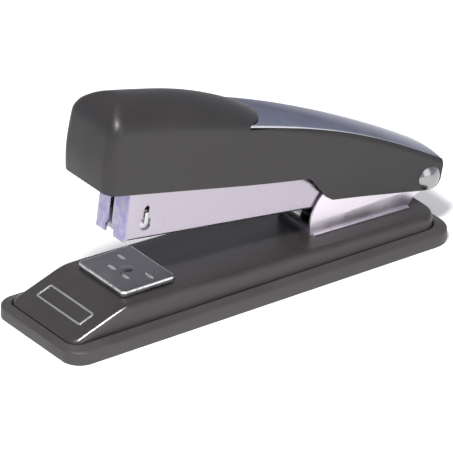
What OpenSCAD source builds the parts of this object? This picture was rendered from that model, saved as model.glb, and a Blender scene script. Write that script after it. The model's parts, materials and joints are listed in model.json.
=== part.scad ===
// Desktop stapler with a ramped base, a pinned rear bracket, a staple magazine
// and a hinged cover. Millimetres, +Z up, +X towards the hinge, origin at the
// middle of the footprint on the table.

/* [Base] */
// Length of the base shoe
base_l = 159; // [154:0.5:164]
// Width of the base shoe at the front
base_w = 49; // [47:0.5:52]
// Width lost towards the rear of the shoe
base_taper = 2.4; // [0:0.1:3]
// Height of the shoe's outer edge
shoe_h = 5.4; // [5:0.1:6]
// Width of the pressed steel deck
deck_w = 39; // [37:0.5:40]
// Height of the deck at the top of the ramp
deck_front_z = 14.1; // [13.5:0.1:14.6]
// Fall of the deck towards the rear, degrees
deck_fall = 1.7; // [1:0.1:2]
// Height of the foot of the ramp
ramp_foot_z = 6.3; // [6:0.1:7]
// Length of the ramp along X
ramp_run = 21.7; // [20:0.1:24]
// Steel thickness of the deck pressing
shell_t = 1.0; // [0.8:0.1:1.2]

/* [Hinge] */
// Distance from the front of the base to the hinge axis
pivot_from_front = 155.8; // [154:0.1:157]
// Height of the hinge axis
pivot_z = 19.9; // [19.5:0.1:21]
// Radius of the hinge pin
pin_r = 2.5; // [2:0.1:2.8]
// Radius of the pin's domed heads
pin_head_r = 4.4; // [4:0.1:4.8]
// Radial clearance of the parts that turn on the pin
pin_gap = 0.08; // [0.03:0.01:0.1]

/* [Magazine] */
// Tilt of the magazine at rest, degrees
magazine_tilt = 7.8; // [7:0.1:8]
// Reach of the magazine in front of the hinge axis
magazine_reach = 125.5; // [124:0.5:127]
// Outside width of the magazine
magazine_w = 17; // [16.6:0.1:17.2]
// Distance of the magazine's underside below the hinge axis
magazine_drop = 5.3; // [5:0.1:5.5]
// Steel thickness of the magazine walls
magazine_t = 0.9; // [0.8:0.05:1]
// Width of a staple over its legs
staple_w = 12.8; // [12.6:0.1:12.9]
// Leg length of a staple
staple_leg = 6; // [5.5:0.1:6]
// Length of the row of staples in the magazine
strip_l = 40; // [20:1:44]

/* [Cover] */
// Tilt of the cover at rest, degrees
cover_tilt = 12.5; // [12:0.1:13]
// Reach of the cover's nose in front of the hinge axis
cover_reach = 141; // [139:0.5:142]
// Half width of the head
head_half_w = 13.75; // [13.5:0.05:14.2]
// Half width of the cover at the hinge
tail_half_w = 11; // [10.9:0.05:11.3]
// Wall thickness of the cover
cover_t = 1.1; // [0.9:0.05:1.1]
// Rise of the domed head over its side edges
head_crown = 7.6; // [6:0.1:9]
// Height of the cover's lower edge over the hinge axis
cover_skirt_z = 4.1; // [3.5:0.1:4.5]

/* [Anvil] */
// Length of the anvil plate along X
anvil_l = 21.6; // [21:0.1:22.2]
// Width of the anvil plate
anvil_w = 27.2; // [25:0.1:28]
// Height of the anvil's working face
anvil_z = 16.1; // [15.9:0.1:16.2]
// Distance between the two rows of clinching pockets
pocket_rows = 6.8; // [6:0.1:8]

/* [Hidden] */
$fn = 48;

// Places along X
tail_x = 5;
tail_top = 7;
rear_reach = tail_x * cos(cover_tilt) + tail_top * sin(cover_tilt);
front_x = -(pivot_from_front + rear_reach) / 2;
rear_x = front_x + base_l;
pivot_x = front_x + pivot_from_front;
ramp_foot_x = front_x + 3;
ramp_top_x = ramp_foot_x + ramp_run;
ramp_angle = atan((deck_front_z - ramp_foot_z) / ramp_run);
shell_rear_x = rear_x - 5;

// Base
shoe_corner_r = 7;
shoe_rear_r = 9;
shoe_floor = 2.2;
shoe_crown = 0.8;
shell_corner_r = 4;
shell_rear_r = 6;
deck_edge_r = 2;
groove = 0.4;
ridge_blend = 0.4;
plate_s = 10.6;
plate_l = 6.8;
plate_w = 26;
plate_t = 0.4;
plate_rim = 0.55;
tab_l = 12;
tab_w = 12;
tab_x = [front_x + 22, rear_x - 18];
tab_y = 13.5;
base_screw_r = 1.6;
base_screw_head_r = 3;

// Bracket
bracket_in = magazine_w / 2 + 0.25;
bracket_t = 0.9;
bracket_out = bracket_in + bracket_t;
bracket_front_x = pivot_x - 49.1;
bracket_rear_x = pivot_x - 8.2;
bracket_arc_r = 16.8;
bracket_arc_z = 14;
bracket_ear_r = 4.4;
bracket_web_t = 1.2;
bracket_flange = 1.2;
rivet_x = [bracket_front_x + 9, bracket_rear_x - 7];
rivet_y = 4.2;
rivet_r = 1.5;

// Anvil
anvil_x = front_x + 37.9;
anvil_t = 1;
anvil_rim_h = 1.9;
anvil_rim_t = 0.8;
post_r = 2.2;
post_gap = 0.08;
button_r = 5.6;
button_z = 0.8;
button_h = 1.5;
pocket_r = 4.2;
pocket_depth = 0.6;

// Magazine, measured from the hinge axis with the magazine level
mag_front = -magazine_reach;
mag_floor = -magazine_drop;
mag_half = magazine_w / 2;
mag_top_front = 12;
mag_top_rear = 6;
flange_slot = 2.4;
blade_t = 0.7;
blade_front = mag_front + magazine_t + 1.1;
feed_front = blade_front + blade_t + 0.4;
track_half = mag_half - magazine_t - 0.1;
track_t = 0.9;
track_floor = mag_floor + magazine_t;
track_top = 5;
track_rear = -33;
track_rivet_x = [-100, -60];
rail_top = track_floor + track_t + 0.1 + staple_leg;
rail_half = staple_w / 2 - 0.5 - 0.1;
rail_t = 0.9;
rail_foot = track_floor + track_t + 0.9;
rail_rear = -34;
rod_z = rail_foot + 2;
rod_r = 1.1;
strip_front = feed_front + 0.1;
pusher_front = strip_front + strip_l + 0.1;
pusher_l = 11;
pusher_top = 6.2;
bridge_x = -58;
bridge_z = 7.6;
bridge_t = 0.8;
ear_r = 4.5;
bush_r = 3.6;

// Cover, measured from the hinge axis with the cover level
nose_x = -cover_reach;
tongue_x = -84;
tongue_r = head_half_w + 0.25;
tongue_centre = tongue_x - 4.6;
nose_r = 4;
nose_mid_z = 19;
nose_knee_z = 24;
nose_top_r = 12;
shoulder_r = 2.2;
panel_t = 1.3;
panel_gap = 0.15;
panel_proud = 0.25;
panel_end = tail_x - 0.5;
arm_z = 14.6;
arm_t = 1;
arm_half = 6.4;
arm_front = -121.5;
arm_rear = -30;
boss_r = 3;
boss_x = [-108, -88];
screw_r = 1.2;
blade_half = 6.3;
blade_foot = mag_floor + 0.3;

DARK = [0.19, 0.18, 0.18];
RUBBER = [0.16, 0.16, 0.16];
GLOSS = [0.24, 0.25, 0.29];
NICKEL = [0.78, 0.77, 0.80];
STEEL = [0.60, 0.61, 0.63];
CHROME = [0.85, 0.85, 0.87];

// ---------- curves ----------
function clamp01(t) = min(1, max(0, t));
function ease(t) = let (s = clamp01(t)) s * s * (3 - 2 * s);
function deck_z(x) = deck_front_z - (x - ramp_top_x) * tan(deck_fall);

// Height of the magazine's underside at rest, at a place along X
function magazine_under(x) =
  pivot_z + (pivot_x - x) * tan(magazine_tilt) - magazine_drop / cos(magazine_tilt);
function arc_pts(c, r, a0, a1, n) =
  [for (i = [0:n]) let (a = a0 + (a1 - a0) * i / n) c + r * [cos(a), sin(a)]];

// Half width of the cover, height of its side edge and crown of its top, by place along X
function cover_half(x) = head_half_w - (head_half_w - tail_half_w) * ease((x - tongue_x) / 62);
function edge_z(x) = let (t = (x - tongue_x) / 89)
  t < 0 ? 25.9 - 6.8 * t - 5.4 * t * t : 25.9 - 6.8 * t - 12.6 * t * t;
function crown(x) = max(0.6, head_crown - 0.0036 * pow(max(0, x + 115), 2));
function panel_half(x) = head_half_w - 0.15 - 4.2 * ease((x + 90) / 72);
// How far the nose lies behind its foremost line, by height
function nose_lean(z) = z < nose_mid_z
  ? 2.2 * pow((nose_mid_z - max(z, 2)) / 15, 2)
  : nose_top_r - sqrt(pow(nose_top_r, 2) - pow(min(nose_top_r, max(0, z - nose_knee_z)), 2));
function nose_fade(d) = pow(clamp01(1 - d / 22), 1.5);
function nose_inset(d, r) = d >= r ? 0 : r - sqrt(r * r - pow(r - d, 2));

// One cross-section of the cover, d behind the nose, t inside its outer face
function cover_ring(d, t, foot) = let (
    x = nose_x + d,
    r = max(shoulder_r - t, 0.5),
    w = cover_half(x) - t - nose_inset(d - t, nose_r),
    side_top = edge_z(x) - t - r,
    side = [for (k = [0:7]) [-w, foot + (side_top - foot) * k / 7]],
    top = [for (a = [-85:10:85]) let (y = w * sin(a), over = max(0, abs(y) - (w - r)))
      [y, side_top + sqrt(r * r - over * over) + crown(x) * (1 - pow(y / w, 2))]],
    back = [for (k = [7:-1:0]) [w, foot + (side_top - foot) * k / 7]]
  ) [for (p = concat(side, top, back)) [x + nose_lean(p[1]) * nose_fade(d - t), p[0], p[1]]];

// ---------- helpers ----------
// Solid skin over rings that are symmetric about y = 0, point i facing point n-1-i
module skin(rings) {
  n = len(rings[0]);
  last = (len(rings) - 1) * n;
  walls = [for (k = [0:len(rings) - 2], i = [0:n - 1]) let (a = k * n + i, b = k * n + (i + 1) % n)
    each [[a, b, b + n], [a, b + n, a + n]]];
  first_cap = [for (i = [0:n / 2 - 2]) each [[i, n - 1 - i, n - 2 - i], [i, n - 2 - i, i + 1]]];
  last_cap = [for (i = [0:n / 2 - 2]) each [[last + i, last + i + 1, last + n - 2 - i],
    [last + i, last + n - 2 - i, last + n - 1 - i]]];
  polyhedron(points = [for (r = rings, p = r) p], faces = concat(walls, first_cap, last_cap));
}

// Outline in X and Y with rounded corners and a taper from front to rear
function outline(x0, x1, w0, w1, rf, rr) = concat(
  arc_pts([x1 - rr, w1 / 2 - rr], rr, 0, 90, 8),
  arc_pts([x0 + rf, w0 / 2 - rf], rf, 90, 180, 8),
  arc_pts([x0 + rf, -w0 / 2 + rf], rf, 180, 270, 8),
  arc_pts([x1 - rr, -w1 / 2 + rr], rr, 270, 360, 8));

// Extrudes a shape drawn in X and Z to the given half width on both sides of y = 0
module across(half) {
  rotate([90, 0, 0]) linear_extrude(height = 2 * half, center = true) children();
}

// Two mirrored copies, one at +Y and one at -Y
module both_sides() {
  children();
  mirror([0, 1, 0]) children();
}

// Cylinder along Y through the hinge axis
module pin_bore(r) {
  rotate([90, 0, 0]) cylinder(r = r, h = 60, center = true);
}

module in_magazine() {
  translate([pivot_x, 0, pivot_z]) rotate([0, magazine_tilt, 0]) children();
}

module in_cover() {
  translate([pivot_x, 0, pivot_z]) rotate([0, cover_tilt, 0]) children();
}

// Helical spring standing on z = 0, ring radius r, wire radius w
module coil(r, w, turns, h, sides = 6, per_turn = 14) {
  steps = turns * per_turn;
  rings = [for (i = [0:steps]) let (a = 360 * i / per_turn, z = w + (h - 2 * w) * i / steps)
    [for (j = [0:sides - 1]) let (b = 360 * j / sides)
      [(r + w * cos(b)) * cos(a), (r + w * cos(b)) * sin(a), z + w * sin(b)]]];
  n = sides;
  last = steps * n;
  polyhedron(
    points = [for (q = rings, p = q) p],
    faces = concat(
      [for (k = [0:steps - 1], j = [0:n - 1]) let (a = k * n + j, b = k * n + (j + 1) % n)
        each [[a, b + n, b], [a, a + n, b + n]]],
      [[for (j = [0:n - 1]) j]],
      [[for (j = [n - 1:-1:0]) last + j]]));
}

// ---------- base ----------
module shoe_plan(inset, h) {
  linear_extrude(height = h)
    polygon(outline(front_x + inset, rear_x - inset, base_w - 2 * inset,
      base_w - base_taper - 2 * inset, shoe_corner_r - inset, shoe_rear_r - inset));
}

module base_shoe() color(RUBBER) difference() {
  union() {
    shoe_plan(0, shoe_h - 1.6);
    for (k = [1:4]) shoe_plan(1.6 * (1 - cos(k * 20)), shoe_h - 1.6 + 1.6 * sin(k * 20));
    translate([0, 0, shoe_h - 0.3]) shoe_plan(2.4, shoe_crown);
  }
  translate([0, 0, shoe_floor]) shell_plan(-groove, 20);
  translate([anvil_x, 0, -1]) cylinder(r = button_r + 0.5, h = 10);
  base_screw_places() {
    translate([0, 0, -1]) cylinder(r = base_screw_r + 0.1, h = 10);
    translate([0, 0, -1]) cylinder(r = base_screw_head_r + 0.2, h = 2.2);
  }
}

module base_screw_places() {
  for (x = tab_x, s = [-1, 1]) translate([x, s * tab_y, 0]) children();
}

module shell_plan(inset, h) {
  linear_extrude(height = h)
    polygon(outline(ramp_foot_x + inset, shell_rear_x - inset, deck_w - 2 * inset,
      deck_w - 2 * inset, shell_corner_r - inset, shell_rear_r - inset));
}

// Height of the ramp and deck, with a soft bend between them
function roof_z(x) = let (a = ramp_foot_z + (x - ramp_foot_x) * tan(ramp_angle), b = deck_z(x))
  (a + b - sqrt(pow(a - b, 2) + ridge_blend)) / 2;

// One cross-section of the pressing, t inside its outer face
function shell_ring(x, t, foot) = let (
    w = deck_w / 2 - t - nose_inset(x - ramp_foot_x - t, shell_corner_r - t)
      - nose_inset(shell_rear_x - t - x, shell_rear_r - t),
    r = deck_edge_r - t,
    top = roof_z(x) - t - r,
    edge = [for (a = [0:15:90]) [w - r * (1 - cos(a)), top + r * sin(a)]]
  ) concat([[x, -w, foot]], [for (p = edge) [x, -p[0], p[1]]],
    [for (k = [len(edge) - 1:-1:0]) [x, edge[k][0], edge[k][1]]], [[x, w, foot]]);

module shell_form(t, foot) {
  front = ramp_foot_x + t;
  rear = shell_rear_x - t;
  skin([for (x = concat(
      [for (a = [0:15:90]) front + (shell_corner_r - t) * (1 - cos(a))],
      [for (k = [-3:3]) ramp_top_x + 0.6 * k],
      [for (a = [90:-15:0]) rear - (shell_rear_r - t) * (1 - cos(a))]))
    shell_ring(x, t, foot)]);
}

module base_shell() color(DARK) difference() {
  union() {
    difference() {
      shell_form(0, shoe_floor);
      shell_form(shell_t, shoe_floor - 5);
    }
    for (x = tab_x) both_sides() translate([x - tab_l / 2, -deck_w / 2 + shell_t / 2, shoe_floor])
      cube([tab_l, tab_w, shell_t]);
    translate([anvil_x, 0, deck_z(anvil_x) - 0.6])
      cylinder(r = 6, h = anvil_z - anvil_t - 0.1 - deck_z(anvil_x) + 0.6);
  }
  translate([anvil_x, 0, -1]) cylinder(r = post_r + post_gap, h = 30);
  bracket_rivet_places() translate([0, 0, -1]) cylinder(r = rivet_r + 0.05, h = 30);
  base_screw_places() translate([0, 0, -1]) cylinder(r = base_screw_r + 0.05, h = 10);
  translate([ramp_foot_x, 0, ramp_foot_z]) rotate([0, -ramp_angle, 0])
    translate([plate_s - plate_l / 2 - 0.2, -plate_w / 2 - 0.2, -0.4])
      cube([plate_l + 0.4, plate_w + 0.4, 2]);
}

// Blank plate let into the ramp

module name_plate() color(CHROME)
  translate([ramp_foot_x, 0, ramp_foot_z]) rotate([0, -ramp_angle, 0]) translate([plate_s, 0, -plate_t])
    difference() {
      translate([-plate_l / 2, -plate_w / 2, 0]) cube([plate_l, plate_w, plate_t + 0.3]);
      translate([-plate_l / 2 + plate_rim, -plate_w / 2 + plate_rim, plate_t])
        cube([plate_l - 2 * plate_rim, plate_w - 2 * plate_rim, 1]);
    }

module base_screws() color(STEEL) base_screw_places() {
  difference() {
    translate([0, 0, 0.3]) cylinder(r = base_screw_head_r, h = 0.9);
    translate([0, 0, 0.2]) rotate(45) translate([-2.2, -0.35, 0]) cube([4.4, 0.7, 0.5]);
    translate([0, 0, 0.2]) rotate(-45) translate([-2.2, -0.35, 0]) cube([4.4, 0.7, 0.5]);
  }
  translate([0, 0, 1.2]) cylinder(r = base_screw_r, h = 4.6);
}

// ---------- hinge bracket ----------
module bracket_side() {
  foot_f = deck_z(bracket_front_x);
  foot_r = deck_z(bracket_rear_x);
  arc_x = bracket_front_x + bracket_arc_r;
  difference() {
    union() {
      intersection() {
        translate([arc_x, bracket_arc_z]) circle(r = bracket_arc_r, $fn = 96);
        polygon([
          [bracket_front_x - 1, foot_f], [arc_x, deck_z(arc_x)],
          [arc_x, 60], [bracket_front_x - 1, 60]]);
      }
      polygon([
        [arc_x, deck_z(arc_x)], [bracket_rear_x, foot_r], [bracket_rear_x + 2.3, foot_r + 3.4],
        [pivot_x - 1.2, pivot_z - bracket_ear_r + 0.17], [pivot_x + 0.6, pivot_z + bracket_ear_r - 0.04],
        [arc_x, bracket_arc_z + bracket_arc_r]]);
      translate([pivot_x, pivot_z]) circle(r = bracket_ear_r);
    }
    translate([pivot_x, pivot_z]) circle(r = pin_r + 0.02);
  }
}

module hinge_bracket() color(CHROME) difference() {
  union() {
    both_sides() translate([0, -bracket_in, 0]) rotate([90, 0, 0])
      linear_extrude(height = bracket_t) bracket_side();
    across(bracket_in + 0.2) polygon([
      [bracket_front_x + 2, deck_z(bracket_front_x + 2)], [bracket_rear_x, deck_z(bracket_rear_x)],
      [bracket_rear_x, deck_z(bracket_rear_x) + bracket_web_t],
      [bracket_front_x + 2, deck_z(bracket_front_x + 2) + bracket_web_t]]);
    both_sides() translate([0, -bracket_out + 0.1, 0]) rotate([90, 0, 0])
      linear_extrude(height = bracket_flange) polygon([
        [bracket_front_x + 1, deck_z(bracket_front_x + 1)], [bracket_rear_x, deck_z(bracket_rear_x)],
        [bracket_rear_x, deck_z(bracket_rear_x) + 0.7], [bracket_front_x + 1, deck_z(bracket_front_x + 1) + 0.7]]);
  }
  bracket_rivet_places() translate([0, 0, -1]) cylinder(r = rivet_r + 0.05, h = 30);
}

module bracket_rivet_places() {
  for (x = rivet_x, s = [-1, 1]) translate([x, s * rivet_y, 0]) children();
}

module bracket_rivets() color(STEEL)
  for (x = rivet_x, s = [-1, 1]) {
    web_top = deck_z(x) + bracket_web_t;
    translate([x, s * rivet_y, web_top + 0.1]) intersection() {
      cylinder(r = 2.4, h = 2);
      translate([0, 0, -2.2]) sphere(r = 3.2);
    }
    translate([x, s * rivet_y, deck_z(x) - shell_t - 0.4])
      cylinder(r = rivet_r, h = bracket_web_t + shell_t + 0.6);
    translate([x, s * rivet_y, deck_z(x) - shell_t - 1]) cylinder(r = 2.4, h = 0.8);
  }

// Pin with a dome on each end
module hinge_pin() color(CHROME) translate([pivot_x, 0, pivot_z]) {
  seat = tail_half_w + 0.1;
  dome_h = 1.7;
  dome_r = (pow(pin_head_r, 2) + pow(dome_h, 2)) / (2 * dome_h);
  rotate([90, 0, 0]) cylinder(r = pin_r, h = 2 * seat + 0.2, center = true);
  both_sides() intersection() {
    translate([0, -seat + dome_r - dome_h, 0]) sphere(r = dome_r, $fn = 96);
    translate([0, -seat, 0]) rotate([90, 0, 0]) cylinder(r = pin_head_r + 1, h = 10);
  }
}

// Bent leaf that lifts the magazine off the anvil
module lift_spring() color(STEEL) {
  leaf_t = 0.6;
  bend_x = bracket_front_x + 3.2;
  lower_z = deck_z(bend_x) + bracket_web_t + 0.1;
  bend_r = (magazine_under(bend_x) - 0.15 - lower_z) / 2;
  bend_z = lower_z + bend_r;
  half = 4.5;
  leg = 13;
  across(half) {
    difference() {
      translate([bend_x, bend_z]) circle(r = bend_r);
      translate([bend_x, bend_z]) circle(r = bend_r - leaf_t);
      translate([bend_x, bend_z - 10]) square([20, 20]);
    }
    translate([bend_x, lower_z]) rotate(-deck_fall) translate([-0.5, 0]) square([3.7, leaf_t]);
    translate([bend_x, bend_z + bend_r]) rotate(-magazine_tilt)
      translate([-0.5, -leaf_t]) square([leg, leaf_t]);
  }
}

// ---------- anvil ----------
module pocket(y) {
  translate([0, y, pocket_r - pocket_depth]) rotate([0, 90, 0])
    cylinder(r = pocket_r, h = 1.5, center = true);
}

module anvil_plate() color(NICKEL) translate([anvil_x, 0, anvil_z]) difference() {
  union() {
    translate([0, 0, -anvil_t]) anvil_slab(0, anvil_t);
    difference() {
      translate([0, 0, -anvil_rim_h]) anvil_slab(0, anvil_rim_h);
      translate([0, 0, -anvil_rim_h - 1]) anvil_slab(anvil_rim_t, anvil_rim_h + 1);
    }
  }
  for (s = [-1, 1]) {
    translate([-pocket_rows / 2, 0, 0]) pocket(s * 4);
    translate([pocket_rows / 2, 0, 0]) pocket(s * 8.4);
  }
  cylinder(r = post_r + 0.02, h = 10, center = true);
  for (s = [-1, 1]) translate([s * anvil_l / 2, s * anvil_w / 2, -5]) cylinder(r = 1.1, h = 10);
}

module anvil_slab(inset, h) {
  linear_extrude(height = h) polygon(outline(-anvil_l / 2 + inset, anvil_l / 2 - inset,
    anvil_w - 2 * inset, anvil_w - 2 * inset, 1.4 - inset, 1.4 - inset));
}

module anvil_post() color(STEEL) translate([anvil_x, 0, 0]) {
  translate([0, 0, button_z]) cylinder(r = post_r, h = anvil_z - button_z);
  translate([0, 0, anvil_z]) intersection() {
    cylinder(r = 3, h = 1);
    translate([0, 0, -7.6]) sphere(r = 8, $fn = 96);
  }
}

module anvil_button() color(STEEL) translate([anvil_x, 0, button_z]) difference() {
  cylinder(r = button_r, h = button_h);
  translate([0, 0, -1]) cylinder(r = post_r + post_gap, h = 5);
  translate([0, 0, -1]) difference() {
    cylinder(r = button_r - 0.8, h = 1.3);
    cylinder(r = button_r - 2, h = 2);
  }
}

module anvil_spring() color(STEEL) translate([anvil_x, 0, button_z + button_h + 0.05])
  coil(3.1, 0.4, 6, deck_z(anvil_x + 4) - shell_t - button_z - button_h - 0.2);

// ---------- magazine ----------
module channel_side() {
  polygon([
    [mag_front, mag_floor], [-3, mag_floor], [-3, mag_top_rear - 1.5], [-45, mag_top_rear],
    [mag_front + 14, mag_top_front], [mag_front, mag_top_front]]);
  circle(r = ear_r);
}

module magazine_channel() color(NICKEL) in_magazine() difference() {
  union() {
    both_sides() translate([0, -mag_half + magazine_t, 0]) rotate([90, 0, 0])
      linear_extrude(height = magazine_t) channel_side();
    translate([feed_front, -mag_half + 0.1, mag_floor])
      cube([-8 - feed_front, 2 * mag_half - 0.2, magazine_t]);
    both_sides() translate([mag_front, -mag_half + 0.1, mag_floor])
      cube([magazine_t, mag_half - 0.1 - flange_slot / 2, mag_top_front - mag_floor]);
  }
  pin_bore(pin_r + pin_gap);
  translate([mag_front + magazine_t / 2, 0, mag_floor]) rotate([0, 90, 0])
    cylinder(r = 2.2, h = 4, center = true);
  both_sides() translate([mag_front + 8.4, -mag_half, 0.4]) hook_window();
  track_rivet_places() cylinder(r = 1.05, h = 5, center = true);
}

// Window with a straight rear edge, for the track's hook
module hook_window() {
  rotate([90, 0, 0]) linear_extrude(height = 4, center = true) {
    intersection() {
      circle(r = 2.4);
      translate([-3, -3]) square([5, 6]);
    }
    translate([-1.2, 0]) square([2.2, 6.2]);
  }
}

module staple_track() color(STEEL) in_magazine() difference() {
  union() {
    both_sides() translate([feed_front, -track_half, track_floor])
      cube([track_rear - feed_front, track_t, track_top - track_floor]);
    translate([feed_front, -track_half + 0.1, track_floor])
      cube([track_rear - feed_front, 2 * track_half - 0.2, track_t]);
    both_sides() translate([mag_front + 7.6, -mag_half - 0.35, 0.6])
      cube([1.4, mag_half + 0.35 - track_half + track_t / 2, 4]);
  }
  track_rivet_places() cylinder(r = 1.05, h = 5, center = true);
}

module track_rivet_places() {
  for (x = track_rivet_x) translate([x, 0, mag_floor]) children();
}

module track_rivets() color(CHROME) in_magazine()
  track_rivet_places() {
    translate([0, 0, -0.4]) cylinder(r = 1.7, h = 0.4);
    translate([0, 0, -0.1]) cylinder(r = 1, h = magazine_t + track_t + 0.1);
  }

module staple_rail() color(STEEL) in_magazine() {
  difference() {
    translate([feed_front, -rail_half, rail_foot])
      cube([rail_rear - feed_front, 2 * rail_half, rail_top - rail_foot]);
    translate([feed_front + rail_t, -rail_half + rail_t, rail_foot - 1])
      cube([rail_rear - feed_front - 2 * rail_t, 2 * (rail_half - rail_t), rail_top - rail_foot + 1 - rail_t]);
    translate([feed_front - 5, 0, rod_z]) rotate([0, 90, 0]) cylinder(r = rod_r + 0.02, h = 200);
  }
  for (x = [feed_front, rail_rear - 4]) translate([x, -rail_half, track_floor + track_t])
    cube([4, 2 * rail_half, rail_foot - track_floor - track_t]);
}

module guide_rod() color(CHROME) in_magazine()
  translate([feed_front, 0, rod_z]) rotate([0, 90, 0]) cylinder(r = rod_r, h = rail_rear - feed_front);

module staple_strip() color(CHROME) in_magazine() difference() {
  translate([strip_front, -staple_w / 2, rail_top - staple_leg])
    cube([strip_l, staple_w, staple_leg + 0.55]);
  translate([strip_front - 1, -staple_w / 2 + 0.5, rail_top - staple_leg - 1])
    cube([strip_l + 2, staple_w - 1, staple_leg + 1.05]);
}

// Cross plate that the cover's spring stands on
module spring_bridge() color(STEEL) in_magazine() {
  translate([bridge_x - 5, -mag_half + magazine_t + 0.02, bridge_z - bridge_t])
    cube([10, 2 * (mag_half - magazine_t) - 0.04, bridge_t]);
  translate([bridge_x, 0, bridge_z]) cylinder(r = 2.2, h = 1.2);
}

module hinge_bush() color(STEEL) in_magazine() rotate([90, 0, 0]) difference() {
  cylinder(r = bush_r, h = 2 * (mag_half - magazine_t) - 0.1, center = true);
  cylinder(r = pin_r + pin_gap, h = 30, center = true);
}

module pusher() color(STEEL) in_magazine() difference() {
  leg_half = staple_w / 2 + 0.05;
  foot = track_floor + track_t + 0.15;
  union() {
    translate([pusher_front, -leg_half, rail_top + 0.08])
      cube([pusher_l, 2 * leg_half, pusher_top - rail_top - 0.08]);
    both_sides() translate([pusher_front, -leg_half, foot])
      cube([pusher_l, leg_half - rail_half - 0.05, pusher_top - foot - 1]);
    translate([pusher_front + 3, -leg_half, foot]) cube([4, 2 * leg_half, 0.6]);
    translate([pusher_front + 3, -2.6, foot]) cube([4, 5.2, rod_z + 2 - foot]);
  }
  translate([pusher_front - 1, 0, rod_z]) rotate([0, 90, 0]) cylinder(r = rod_r + 0.08, h = pusher_l + 2);
  translate([pusher_front + 2, -leg_half + 2, pusher_top - 1.4]) cube([pusher_l - 4, 2 * leg_half - 4, 3]);
}

module pusher_spring() color(CHROME) in_magazine()
  translate([pusher_front + 7.1, 0, rod_z]) rotate([0, 90, 0])
    coil(1.75, 0.35, 18, rail_rear - rail_t - pusher_front - 7.3, 6, 10);

// ---------- cover ----------
COVER_STATIONS = concat(
  [0, 0.4, 1, 2, 3, 4, 6, 9, 13, 17, 22],
  [for (d = [28:6:cover_reach]) d], [cover_reach + tail_x]);
COVER_CAVITY = concat(
  [0, 0.4, 1, 2, 3, 5, 8, 12, 16, 21],
  [for (d = [28:6:cover_reach]) d], [cover_reach + 10]);

// Everything under the cover's lower edge
module under_cover() {
  across(40) {
    polygon([
      [-160, -60], [-160, cover_skirt_z], [-53.6, cover_skirt_z], [-51.6, cover_skirt_z - 1],
      [-44, -3.5], [-41, -4.8], [0, -4.4], [0, -60]]);
    difference() {
      translate([0, -60]) square([60, 60]);
      circle(r = tail_x, $fn = 96);
    }
  }
}

// Opening for the top panel, grown by the given gap
module panel_space(gap) {
  difference() {
    linear_extrude(height = 60) polygon(concat(
      [for (x = [tongue_x:6:0]) [x, panel_half(x) + gap]],
      [[20, panel_half(0) + gap], [20, -panel_half(0) - gap]],
      [for (x = [0:-6:tongue_x]) [x, -panel_half(x) - gap]]));
    translate([tongue_centre, 0, -1]) cylinder(r = tongue_r - gap + panel_gap, h = 80, $fn = 96);
  }
}

module cover_shell() color(DARK) in_cover() difference() {
  union() {
    difference() {
      skin([for (d = COVER_STATIONS) cover_ring(d, 0, -8)]);
      skin([for (d = COVER_CAVITY) cover_ring(d + cover_t, cover_t, -12)]);
    }
    for (x = boss_x) translate([x, 0, arm_z + arm_t])
      cylinder(r = boss_r, h = edge_z(x) + crown(x) - arm_z - 1.6);
  }
  under_cover();
  panel_space(panel_gap);
  for (x = boss_x) translate([x, 0, arm_z - 1]) cylinder(r = screw_r + 0.02, h = 9);
  pin_bore(pin_r + pin_gap);
}

module top_panel() color(GLOSS) in_cover() intersection() {
  skin([for (x = concat([for (k = [tongue_x:6:0]) k], [panel_end])) let (z = edge_z(x) + panel_proud)
    concat([[x, -15, z - panel_t]],
      [for (k = [-4.5:4.5]) [x, k * 15 / 4.5, z + 0.6 * (1 - pow(k / 4.5, 2))]],
      [[x, 15, z - panel_t]])]);
  panel_space(0);
}

module press_arm() color(STEEL) in_cover() difference() {
  union() {
    translate([arm_front, -arm_half, arm_z]) cube([arm_rear - arm_front, 2 * arm_half, arm_t]);
    both_sides() translate([arm_front + 14, -arm_half, arm_z - 2.2]) cube([52, 1, 3]);
  }
  for (x = boss_x) translate([x, 0, arm_z - 1]) cylinder(r = screw_r + 0.1, h = 5);
  for (s = [-1, 1]) translate([arm_front + 4.5, s * 3.2, arm_z - 1]) cylinder(r = 1.05, h = 5);
}

module driver_blade() color(CHROME) in_cover() difference() {
  union() {
    translate([blade_front, -blade_half, blade_foot]) cube([blade_t, 2 * blade_half, arm_z - blade_foot]);
    translate([blade_front, -blade_half, arm_z - blade_t]) cube([11, 2 * blade_half, blade_t]);
  }
  for (s = [-1, 1]) translate([arm_front + 4.5, s * 3.2, arm_z - 3]) cylinder(r = 1.05, h = 5);
}

module driver_rivets() color(STEEL) in_cover()
  for (s = [-1, 1]) translate([arm_front + 4.5, s * 3.2, arm_z - blade_t - 0.5]) {
    cylinder(r = 1.8, h = 0.5);
    cylinder(r = 1, h = blade_t + arm_t + 1);
    translate([0, 0, blade_t + arm_t + 0.5]) cylinder(r = 1.8, h = 0.6);
  }

module cover_screws() color(STEEL) in_cover()
  for (x = boss_x) translate([x, 0, arm_z - 0.9]) {
    cylinder(r = 2.2, h = 0.9);
    cylinder(r = screw_r, h = 8.5);
  }

module cover_spring() color(CHROME) in_magazine()
  translate([bridge_x, 0, bridge_z + 0.05])
    coil(3.1, 0.4, 5, arm_z - bridge_z - bridge_x * sin(cover_tilt - magazine_tilt) - 0.8);

base_shoe();
base_shell();
name_plate();
base_screws();
hinge_bracket();
bracket_rivets();
hinge_pin();
lift_spring();
anvil_plate();
anvil_post();
anvil_button();
anvil_spring();
magazine_channel();
staple_track();
track_rivets();
staple_rail();
guide_rod();
staple_strip();
spring_bridge();
hinge_bush();
pusher();
pusher_spring();
cover_shell();
top_panel();
press_arm();
driver_blade();
driver_rivets();
cover_screws();
cover_spring();
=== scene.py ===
"""A desktop stapler on a pale floor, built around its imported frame.

Sizes are in millimetres in the maker functions, and each maker's matrix turns them into the frame's metres.
"""
import json
import math

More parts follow.
